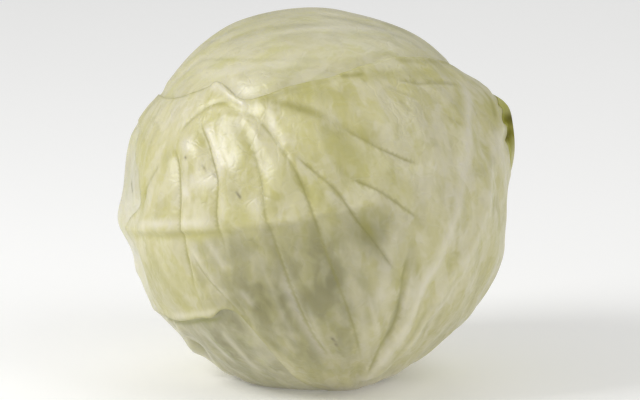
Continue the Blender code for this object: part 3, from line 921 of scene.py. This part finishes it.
# Small creases: their line, how deep in millimetres and how dark their painted shade is
SMALL_CREASES = [
    (seen_line((181, 136), (187, 126), (196, 116), (207, 108), (219, 103), (232, 103)), 0.6, 0.7),
    (seen_line((160, 163), (151, 178), (145, 190), (146, 202)), 0.5, 0.6),
    (seen_line((250, 237), (256, 243), (263, 251)), 0.4, 0.5),
    (seen_line((392, 81), (420, 84), (460, 86)), 0.4, 0.7),
    (seen_line((381, 86), (400, 93), (418, 101)), 0.4, 0.4),
    (seen_line((398, 101), (404, 106), (411, 113)), 0.4, 0.4),
    (seen_line((445, 115), (454, 121), (463, 128)), 0.4, 0.4),
    (seen_line((232, 292), (243, 311), (254, 330)), 0.6, 0.5),
    (seen_line((258, 338), (264, 350), (271, 363)), 0.5, 0.4),
    (seen_line((430, 300), (418, 320), (405, 340), (380, 371)), 0.6, 0.6),
    (seen_line((353, 215), (362, 225), (371, 237), (392, 267)), 0.5, 0.6),
    (seen_line((276, 236), (292, 262), (306, 292), (318, 322)), 0.4, 0.3),
]
# Broad soft bands that run down to the stem, of painted light and then painted shade on the
# panels: their line, half width in millimetres and depth
PAINTED_LIGHT_BANDS = [
    (seen_line((226, 306), (240, 318), (260, 344), (282, 366), (296, 386)), 2.6, 0.6),
    (seen_line((276, 248), (286, 280), (298, 312), (318, 345), (336, 374)), 2.8, 0.5),
    (seen_line((340, 240), (356, 290), (364, 330), (366, 372)), 3.0, 0.35),
    (seen_line((398, 205), (394, 240), (384, 285), (376, 330)), 4.0, 0.45),
    (seen_line((150, 240), (165, 268), (186, 300)), 2.6, 0.35),
    (seen_line((185, 240), (200, 262), (222, 290)), 2.0, 0.35),
]
# Bands of painted shade
SHADE_BANDS = [
    (seen_line((205, 240), (228, 262), (246, 290), (262, 322)), 3.0, 0.5),
    (seen_line((240, 316), (262, 345), (284, 378)), 2.0, 0.4),
    (seen_line((262, 262), (276, 300), (296, 340), (322, 376)), 3.4, 0.5),
    (seen_line((310, 225), (326, 270), (342, 312), (352, 350)), 3.6, 0.6),
    (seen_line((385, 300), (384, 330), (374, 366)), 2.0, 0.4),
    (seen_line((410, 262), (402, 292), (390, 330), (376, 362)), 1.6, 0.6),
]
# Small raised veins: their line, how high in millimetres and how pale
SMALL_VEINS = [
    (seen_line((186, 248), (205, 274), (230, 300), (240, 311)), 0.5, 0.8),
    (seen_line((205, 233), (214, 249), (222, 262), (229, 275)), 0.4, 0.7),
    (seen_line((240, 285), (248, 297), (256, 309)), 0.4, 0.7),
    (seen_line((258, 333), (270, 349), (283, 365), (302, 386)), 0.5, 0.8),
    (seen_line((366, 288), (371, 305), (376, 325), (378, 345)), 0.5, 0.7),
    (seen_line((415, 250), (408, 285), (399, 320), (386, 352)), 0.5, 0.7),
    (seen_line((475, 240), (449, 293), (411, 331), (385, 357)), 0.5, 0.7),
    (seen_line((305, 296), (314, 322), (325, 352)), 0.4, 0.6),
    (seen_line((214, 120), (222, 140), (228, 160), (232, 182)), 0.5, 0.8),
    (seen_line((313, 112), (318, 135), (328, 160), (346, 192)), 0.4, 0.6),
    (seen_line((254, 240), (262, 262), (272, 288), (285, 318), (303, 350)), 0.3, 0.4),
]
# Soft patches of colour: x, y, width and strength, and their stretch and lean. The first are
# painted highlights on the lit facets at the upper left and painted light on the middle right
PAINTED_LIGHT_PATCHES = [
    (190, 147, 7, 0.8, 1.4, 80),
    (273, 125, 5, 0.6, 1.8, 75),
    (214, 86, 5, 1.0, 1.6, 45),
    (200, 182, 8, 0.8, 2.0, -25),
    (186, 192, 6, 0.8, 1.4, 60),
    (256, 210, 7, 0.7, 1.6, 60),
    (225, 205, 4, 0.6, 4, 88),
    (264, 168, 4, 0.5, 2.5, 70),
    (180, 112, 14, 0.4, 2.0, -50),
    (432, 178, 34, 0.3, 1.7, 82),
]
LIME_PATCHES = [
    (142, 150, 8, 0.9, 3.2, 88),
    (143, 205, 6, 0.8, 2.6, 90),
    (142, 268, 6, 0.8, 2.6, 80),
    (162, 308, 7, 0.8, 2.0, 30),
    (224, 104, 4, 0.8, 2.4),
    (262, 99, 4, 0.7, 3.2, -8),
    (457, 100, 5, 0.9, 2.6, 84),
    (425, 71, 8, 0.7, 4, 4),
    (497, 235, 6, 0.6, 8, 104),
    (490, 112, 6, 0.9, 2.6, 60),
    (202, 140, 4, 0.9, 3.4, 74),
    (250, 150, 4, 0.6, 3.2, 72),
    (226, 105, 3, 0.9, 4),
    (316, 98, 15, 0.75, 2.6, 8),
    (345, 150, 20, 0.8, 2.0, 28),
    (320, 202, 14, 0.5, 1.8, 64),
    (345, 122, 26, 0.4, 2.6, 14),
    (248, 216, 9, 0.4, 1.6),
    (375, 76, 8, 0.6, 4.5, -6),
    (385, 180, 18, 0.45, 1.8, 24),
    (288, 190, 16, 0.4, 2.0, 60),
    (165, 275, 20, 0.55, 1.7, 60),
]
# Olive patches; the one at 268, 302 is painted shade
OLIVE_PATCHES = [
    (418, 74, 6, 0.2, 2.6, 10),
    (235, 190, 9, 0.6, 1.7, 75),
    (305, 188, 3.5, 0.8, 5, 62),
    (325, 94, 8, 0.55, 4, 4),
    (378, 76, 6, 0.35, 4, -6),
    (237, 132, 7, 0.45, 1.9, 70),
    (368, 228, 5, 0.75, 2.8, 62),
    (268, 302, 14, 0.22, 1.5, 62),
    (338, 134, 9, 0.4, 2.6, 22),
    (348, 148, 12, 0.35, 2.0, 28),
    (204, 138, 4, 0.35, 3.6, 72),
]
# Painted shade on the lower half, partly the leaf's own greyer green
SHADE_PATCHES = [
    (270, 300, 52, 1.0, 1.35, 35),
    (325, 275, 46, 1.0, 1.5, 62),
    (320, 345, 40, 0.85, 1.5),
    (372, 238, 28, 0.75, 1.6, 60),
    (235, 252, 26, 0.75, 1.8),
    (262, 350, 30, 0.9, 1.4, 40),
    (300, 295, 62, 0.95, 1.3, 60),
    (270, 304, 24, 1.0, 1.4, 60),
    (164, 288, 24, 0.4, 1.6, 62),
    (440, 332, 26, 0.22, 1.7, -50),
]
# Lines of colour: their line, half width in millimetres and strength
OLIVE_LINES = [
    (seen_line((386, 62), (410, 60), (430, 61), (464, 69)), 2.0, 0.6),
    (seen_line((338, 77), (352, 76), (366, 74)), 1.6, 0.9),
    (seen_line((250, 102), (268, 99), (290, 91), (320, 83), (342, 79)), 2.0, 0.5),
    (seen_line((326, 122), (345, 127), (362, 136), (382, 149)), 2.6, 0.55),
    (seen_line((477, 91), (484, 104), (489, 123)), 1.3, 0.7),
]
SCAR_LINES = [
    (seen_line((201, 164), (205, 168), (209, 172)), 0.35, 0.4),
    (seen_line((212, 155), (213, 161), (214, 167)), 0.35, 0.3),
    (seen_line((212, 171), (215, 177), (218, 183)), 0.35, 0.4),
    (seen_line((238, 190), (241, 196), (243, 201)), 0.45, 0.7),
    (seen_line((331, 336), (334, 341), (338, 347)), 0.5, 0.7),
]
# The free edge, a painted highlight along its curled lip, a painted highlight above the fold
# and the green below it
FREE_EDGE = seen_line((158, 313), (180, 319), (200, 317), (214, 315), (224, 307))
FREE_EDGE_HIGHLIGHT = seen_line((170, 314), (190, 315), (205, 313), (216, 310), (224, 304))
FOLD_HIGHLIGHT = seen_line((134, 224), (160, 223), (200, 222), (232, 219))
BELOW_FOLD = seen_line((124, 232), (150, 235), (200, 234), (250, 228))
# The knot above the arch, the wedge below it and the swollen vein at the left; the knot and
# the swollen vein are also whitened with a painted highlight
KNOT = seen_line((212, 78), (224, 90), (236, 99), (250, 109))
WEDGE = seen_line((262, 99), (285, 105), (302, 110), (322, 117), (340, 125))
SWELL = seen_line((205, 122), (212, 142), (219, 160), (224, 176))

FOLD_HEIGHT = 2.6 * MM
FOLD_RISE = 13 * MM
FOLD_DROP = 2.2 * MM
PANEL_HEIGHT = 1.0 * MM
PANEL_SHOULDER = 5 * MM
CREASE_DEPTH = 0.9 * MM
CREASE_STEEP = 1.0 * MM
CREASE_GENTLE = 2.6 * MM
CREASE_LINE = 0.6 * MM
CREASE_ENDS = 0.15
FREE_EDGE_HEIGHT = 1.2 * MM
FREE_EDGE_WIDTH = 3.2 * MM
SMALL_CREASE_WIDTH = 1.2 * MM
SMALL_VEIN_WIDTH = 1.6 * MM
SMALL_VEIN_SHARE = 0.6
FRONT_MARGIN_WAVE = 0.5 * MM
FRONT_RIB_WIDTH = 0.8 * MIDRIB_WIDTH
OUTER_RIB_PALE_WIDTH = 2.8 * MM
SHADE_START = 0.02
SHADE_SPREAD = 0.06


def fold_height(line, ways):
    """A sharp fold along the line: it rises slowly from above and drops sharply below."""
    away, _, _ = beside(line, ways)
    nearest = np.argmin(np.linalg.norm(ways[:, None] - line, axis=2), axis=1)
    below = ways @ STEM_WAY > (line @ STEM_WAY)[nearest]
    return FOLD_HEIGHT * bell(away, np.where(below, FOLD_DROP, FOLD_RISE))


cell = front_outline.cell
creases = [along(line, cell) for line in FRONT_CREASES]
ribs = [along(line, cell) for line in FRONT_RIBS]
fold = along(FOLD_LINE, cell)
small = [along(line, cell) for line, _, _ in SMALL_CREASES + SMALL_VEINS]
sheet = leaf_sheet(front_outline, creases + ribs + [fold] + small)
ways = sheet[0]
fan = fan_of(ways, 12)

# The panels puff up between the creases, whose ends and depth are uneven, and each crease
# is darkened along its line with painted shade
puffed, grooved = np.full(len(ways), FAR), np.zeros(len(ways))
crease_shading, pale = [], []
unrest = puckers(fan, across=12 * MM, lengthwise=15 * MM, seed=2.2)
uneven = np.clip(1.05 + 0.45 * unrest, 0.7, 1.25)
for line in creases:
    away, part, side = beside(line, ways)
    ends = uneven * smooth_step(part / CREASE_ENDS) * smooth_step((1 - part) / CREASE_ENDS)
    puffed = np.minimum(puffed, away)
    grooved = np.maximum(grooved, ends * np.exp(-away / np.where(side > 0, CREASE_STEEP, CREASE_GENTLE)))
    crease_shading.append(ends * bell(away, CREASE_LINE))
relief = PANEL_HEIGHT * (1 - bell(puffed, PANEL_SHOULDER)) - CREASE_DEPTH * grooved
unrest = puckers(fan, across=9 * MM, lengthwise=60 * MM, seed=4.9)
relief += fold_height(fold, ways) * (0.85 + 0.35 * unrest)
relief += MIDRIB_HEIGHT * bell(distance_to(ribs, ways), FRONT_RIB_WIDTH) * rib_taper(ways)
relief += 0.85 * MM * puckers(fan, across=13 * MM, lengthwise=20 * MM, seed=1.3)
relief += 0.2 * MM * puckers(fan, across=6 * MM, lengthwise=9 * MM, seed=8.3)
relief = waved(front_outline, ways, relief, FRONT_MARGIN_WAVE)

# The two corners at the left outline lie smooth
relief = relief * (1 - round_spot(seen(156, 96), 9, ways)) * (1 - 0.8 * round_spot(seen(139, 121), 6, ways))
relief += FREE_EDGE_HEIGHT * stroke(FREE_EDGE, ways, FREE_EDGE_WIDTH, fade=0.12)
for line, depth, strength in SMALL_CREASES:
    shape = stroke(line, ways, SMALL_CREASE_WIDTH, step=cell)
    relief -= depth * MM * shape
    crease_shading.append(strength * shape)
for line, rise, strength in SMALL_VEINS:
    shape = SMALL_VEIN_SHARE * stroke(line, ways, SMALL_VEIN_WIDTH, fade=0.35, step=cell)
    relief += rise * MM * shape
    pale.append(strength * shape)
knot = stroke(KNOT, ways, 2.0 * MM)
wedge = stroke(WEDGE, ways, 2.4 * MM, fade=0.4)
pillow = patch(189, 149, 10, ways, stretch=1.4, lean=80)
swell = stroke(SWELL, ways, 2.4 * MM)
for height, shape in ((1.3, knot), (-0.5, wedge), (1.6, pillow), (0.9, swell)):
    relief += height * MM * shape

# The painted shade, partly the leaf's own greyer green, is on the lower half only, from
# about the middle of the fold down
fold_middle = fold[len(fold) // 2]
low_half = smooth_step(((ways - fold_middle) @ STEM_WAY + SHADE_START) / SHADE_SPREAD)
masks = {
    "vein": any_of(
        *pale,
        0.7 * bell(distance_to(ribs[:1], ways), PALE_RIB_WIDTH),
        0.4 * bell(distance_to(ribs[1:], ways), OUTER_RIB_PALE_WIDTH),
    ),
    # Painted highlights on the knot, the swollen vein, the free edge's lip, above the fold and on the lit
    # facets, and painted light on the bands
    "pale": any_of(
        knot,
        0.75 * swell,
        0.5 * stroke(FREE_EDGE_HIGHLIGHT, ways, 1.6 * MM),
        0.7 * stroke(FOLD_HIGHLIGHT, ways, 2.0 * MM, fade=0.3),
        *patches(ways, PAINTED_LIGHT_PATCHES),
        *strokes(ways, PAINTED_LIGHT_BANDS, fade=0.3),
    ),
    "lime": any_of(
        *patches(ways, LIME_PATCHES),
        0.9 * stroke(BELOW_FOLD, ways, 2.4 * MM),
        0.6 * np.exp(-front_outline.inside(ways) / (1.6 * MM)),
    ),
    "olive": any_of(wedge, *patches(ways, OLIVE_PATCHES), *strokes(ways, OLIVE_LINES)),
    "shade": any_of(*patches(ways, SHADE_PATCHES), *strokes(ways, SHADE_BANDS, fade=0.3)) * low_half,
    "crease_shade_and_marks": any_of(*crease_shading),
    "scar": any_of(0.8 * patch(189, 159, 1.6, ways), *strokes(ways, SCAR_LINES)),
}
front_finish = leaf_finish(
    "front_leaf_skin",
    flesh=(0.59, 0.55, 0.27, 1),
    pale=(0.81, 0.76, 0.62, 1),
    lime=(0.50, 0.47, 0.15, 1),
    olive=(0.31, 0.29, 0.07, 1),
    shade=(0.25, 0.235, 0.105, 1),
)
over_front = [right_outline]
front_leaf = new_leaf(
    "front_leaf_skinned", front_outline, over_front, sheet, relief, masks, fan, front_finish
)
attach(front_leaf, "root")
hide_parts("front_leaf")


# The right leaf
# The right leaf is the outermost at the back and right. Its margin ends at the right
# outline with a small torn corner on the shoulder, dark green and dry.
RIGHT_MIDRIB = along(turned_line((128, 16), (136, 45), (146, 80), (155, 116)), right_outline.cell)
RIGHT_PAIRS = side_veins(turn=140, reach=44, first=26, last=84, count=5, top=128)
RIGHT_VEINS = [along(line, right_outline.cell) for line in RIGHT_PAIRS]
RIGHT_WAVE = 1.0 * MM
RIGHT_MARGIN_DROP = 0.4 * MM
RIGHT_MARGIN_REACH = 2.5 * MM
NEAR_FADE = 0.14
GREEN_INSET = 1.0 * MM
RIGHT_LIME = [(491, 112, 9, 1.0, 1.8, 60), (502, 152, 6, 0.8, 2.4, 85)]
RIGHT_SCARS = [
    (498, 124, 2.2, 0.9, 2.6, 66),
    (500, 138, 2.0, 0.8, 3.0, 80),
    (493, 126, 1.4, 0.5, 3.0, 70),
]

sheet = leaf_sheet(right_outline, RIGHT_VEINS + [RIGHT_MIDRIB])
ways = sheet[0]
inside = right_outline.inside(ways)
fan = fan_of(ways, 148)
relief, veined, midrib = ribbed(RIGHT_VEINS, RIGHT_MIDRIB, ways)
relief += 0.4 * MM * puckers(fan, across=12 * MM, lengthwise=26 * MM, seed=6.9)
relief = waved(right_outline, ways, relief, RIGHT_WAVE)
relief -= RIGHT_MARGIN_DROP * np.exp(-inside / RIGHT_MARGIN_REACH) * foot_fade(ways)

# The dark green is on the near side only, a millimetre in from the margin
near_side = smooth_step(1 + (ways @ VIEW_NEAR) / NEAR_FADE)
dark_green = np.clip(1.3 * patch(498, 136, 8, ways, stretch=2.5, lean=74), 0, 1)
dark_green = dark_green * smooth_step(inside / GREEN_INSET)
masks = {
    "vein": any_of(0.8 * veined, midrib),
    "lime": any_of(0.9 * np.exp(-inside / (3 * MM)), *patches(ways, RIGHT_LIME)),
    "olive": dark_green * near_side,
    "scar": any_of(*patches(ways, RIGHT_SCARS)) * near_side,
}
right_finish = leaf_finish(
    "right_leaf_skin",
    flesh=(0.58, 0.55, 0.31, 1),
    pale=(0.75, 0.71, 0.54, 1),
    lime=(0.42, 0.42, 0.04, 1),
    olive=(0.20, 0.19, 0.002, 1),
    scar=(0.07, 0.06, 0.002, 1),
)
right_finish.node_tree.nodes["Principled BSDF"].inputs["Specular IOR Level"].default_value = 0.0
right_leaf = new_leaf("right_leaf_skinned", right_outline, [], sheet, relief, masks, fan, right_finish)
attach(right_leaf, "root")
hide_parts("right_leaf")


# The stem
# The stump is the stem's end, cut off with a knife between the leaves' feet, and its core
# runs up into the heart. The cut is pale pith inside a woody ring, a little dried.
STEM_SIDES = 64
CORE_TIP_RADIUS = 5 * MM
CORE_LENGTH = 62 * MM
CUT_EDGE = 0.8 * MM
CUT_RINGS = 10
CUT_RING_STEP = 1.25 * MM
CUT_HOLLOW = 0.9 * MM
CUT_HOLLOW_SHARE = 0.45
CUT_UNREST = 0.25 * MM
CUT_UNREST_SIZE = 5 * MM
CUT_LEVEL = 0.01 * MM
SHARP_ANGLE = math.radians(40)
WOOD_INNER = 9.5 * MM
WOOD_OUTER = 13 * MM
PITH_DRY = (0.62, 0.58, 0.40, 1)
PITH_FRESH = (0.78, 0.75, 0.58, 1)
WOOD = (0.50, 0.45, 0.24, 1)

shape = bmesh.new()
bmesh.ops.create_cone(
    shape,
    cap_ends=True,
    segments=STEM_SIDES,
    radius1=STEM_RADIUS,
    radius2=CORE_TIP_RADIUS,
    depth=CORE_LENGTH,
)
cut = min(shape.faces, key=lambda face: face.calc_center_median().z)
bmesh.ops.bevel(
    shape,
    geom=list(cut.edges),
    offset=CUT_EDGE,
    offset_type="OFFSET",
    affect="EDGES",
    segments=3,
    profile=0.5,
    material=-1,
)
cut = min(shape.faces, key=lambda face: face.calc_center_median().z)
for ring in range(CUT_RINGS):
    bmesh.ops.inset_region(shape, faces=[cut], thickness=CUT_RING_STEP)
low = min(vert.co.z for vert in shape.verts)
for vert in shape.verts:
    if vert.co.z < low + CUT_LEVEL:
        out = math.hypot(vert.co.x, vert.co.y) / STEM_RADIUS
        unrest = noise.noise(Vector((vert.co.x, vert.co.y, 0.0)) / CUT_UNREST_SIZE)
        vert.co.z += CUT_HOLLOW * math.exp(-((out / CUT_HOLLOW_SHARE) ** 2))
        vert.co.z += CUT_UNREST * (1 + unrest) * (1 - out)
spin = Vector(-STEM_WAY).to_track_quat("Z", "Y").to_matrix().to_4x4()
spin.translation = Vector(HEAD_CENTRE + STEM_WAY * (CUT_DISTANCE - CORE_LENGTH / 2))
bmesh.ops.transform(shape, matrix=spin, verts=shape.verts)
mesh = bpy.data.meshes.new("stem_cut")
shape.to_mesh(mesh)
shape.free()
mesh.shade_smooth()
mesh.set_sharp_from_angle(angle=SHARP_ANGLE)
stem = new_object("stem_cut", mesh)

stem_finish, tree, shader = new_material("stem_pith")
shader.inputs["Subsurface Weight"].default_value = 0.15
shader.inputs["Subsurface Radius"].default_value = (1.0, 0.8, 0.4)
shader.inputs["Subsurface Scale"].default_value = 0.003
place = tree.nodes.new("ShaderNodeTexCoord").outputs["Object"]
cut_middle = HEAD_CENTRE + STEM_WAY * CUT_DISTANCE
centred = shader_node(tree, "ShaderNodeMapping", {"Vector": place, "Location": tuple(-cut_middle)})
from_middle = shader_node(tree, "ShaderNodeVectorMath", {0: centred.outputs[0]}, operation="LENGTH")
fibres = shader_node(
    tree,
    "ShaderNodeTexNoise",
    {"Vector": centred.outputs[0], "Scale": 420.0, "Detail": 4.0},
)
fresh = spread(tree, fibres.outputs["Fac"], 0.3, 0.7)
woody = sums(tree, "MULTIPLY", spread(tree, from_middle.outputs["Value"], WOOD_INNER, WOOD_OUTER), 0.7)
colour = tinted(tree, woody, tinted(tree, fresh, PITH_DRY, PITH_FRESH), WOOD)
tree.links.new(colour, shader.inputs["Base Color"])
tree.links.new(spread(tree, fibres.outputs["Fac"], 0.3, 0.7, 0.55, 0.75), shader.inputs["Roughness"])
rough = shader_node(tree, "ShaderNodeBump", {"Height": fibres.outputs["Fac"], "Distance": 0.3 * MM})
tree.links.new(rough.outputs["Normal"], shader.inputs["Normal"])
stem.data.materials.append(stem_finish)
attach(stem, "root")
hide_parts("stem")


# The floor, the lights and the camera
# The head stands on a plain, wide, pale floor. A large soft light hangs at the upper left
# in front, and weaker ones fill the right and the back. Colours are shown as they are lit.
FLOOR_WIDTH = 40.0

shape = bmesh.new()
bmesh.ops.create_grid(shape, x_segments=8, y_segments=8, size=FLOOR_WIDTH / 2)
mesh = bpy.data.meshes.new("floor")
shape.to_mesh(mesh)
shape.free()
floor = new_object("floor", mesh)
floor_finish, tree, shader = new_material("floor_paper")
paper = shader_node(
    tree,
    "ShaderNodeTexNoise",
    {"Vector": tree.nodes.new("ShaderNodeTexCoord").outputs["Object"], "Scale": 3.0},
)
tree.links.new(
    tinted(tree, paper.outputs["Fac"], (0.93, 0.93, 0.92, 1), (0.95, 0.95, 0.94, 1)),
    shader.inputs["Base Color"],
)
shader.inputs["Roughness"].default_value = 0.9
shader.inputs["Specular IOR Level"].default_value = 0.1
shader.inputs["Emission Color"].default_value = (1.0, 1.0, 1.0, 1)
shader.inputs["Emission Strength"].default_value = 0.13
floor.data.materials.append(floor_finish)

world = bpy.data.worlds.new("studio")
world.use_nodes = True
world.node_tree.nodes["Background"].inputs["Color"].default_value = (1.0, 1.0, 1.0, 1)
world.node_tree.nodes["Background"].inputs["Strength"].default_value = 0.42
bpy.context.scene.world = world
bpy.context.scene.view_settings.view_transform = "Standard"


def soft_light(name, azimuth, elevation, away, width, power):
    """A square light that faces the head, from degrees round from the front, positive to
    the right, and degrees up."""
    azimuth, elevation = math.radians(azimuth), math.radians(elevation)
    from_way = Vector(
        (
            math.sin(azimuth) * math.cos(elevation),
            -math.cos(azimuth) * math.cos(elevation),
            math.sin(elevation),
        )
    )
    lamp = bpy.data.lights.new(name, "AREA")
    lamp.size = width
    lamp.energy = power
    made = new_object(name, lamp)
    made.location = Vector(HEAD_CENTRE) + from_way * away
    made.rotation_euler = from_way.to_track_quat("Z", "Y").to_euler()


soft_light("key_light", azimuth=-68, elevation=38, away=1.4, width=0.6, power=10.5)
soft_light("fill_light", azimuth=55, elevation=42, away=1.8, width=1.0, power=6.4)
soft_light("back_light", azimuth=160, elevation=50, away=1.8, width=1.0, power=3)

CAMERA_AWAY = 3.0
SENSOR_WIDTH = 36.0
METRES_PER_PIXEL = 0.000452
FRAME_WIDTH = 640
FRAME_MIDDLE = (320, 200)
camera = bpy.data.cameras.new("camera")
camera.sensor_width = SENSOR_WIDTH
camera.lens = SENSOR_WIDTH * CAMERA_AWAY / (FRAME_WIDTH * METRES_PER_PIXEL)
viewer = new_object("camera", camera)
aside = (FRAME_MIDDLE[0] - VIEW_CENTRE[0]) * METRES_PER_PIXEL
viewer.location = Vector(HEAD_CENTRE + VIEW_NEAR * CAMERA_AWAY + VIEW_RIGHT * aside)
viewer.rotation_euler = (math.pi / 2 - VIEW_TILT, 0, 0)
bpy.context.scene.camera = viewer
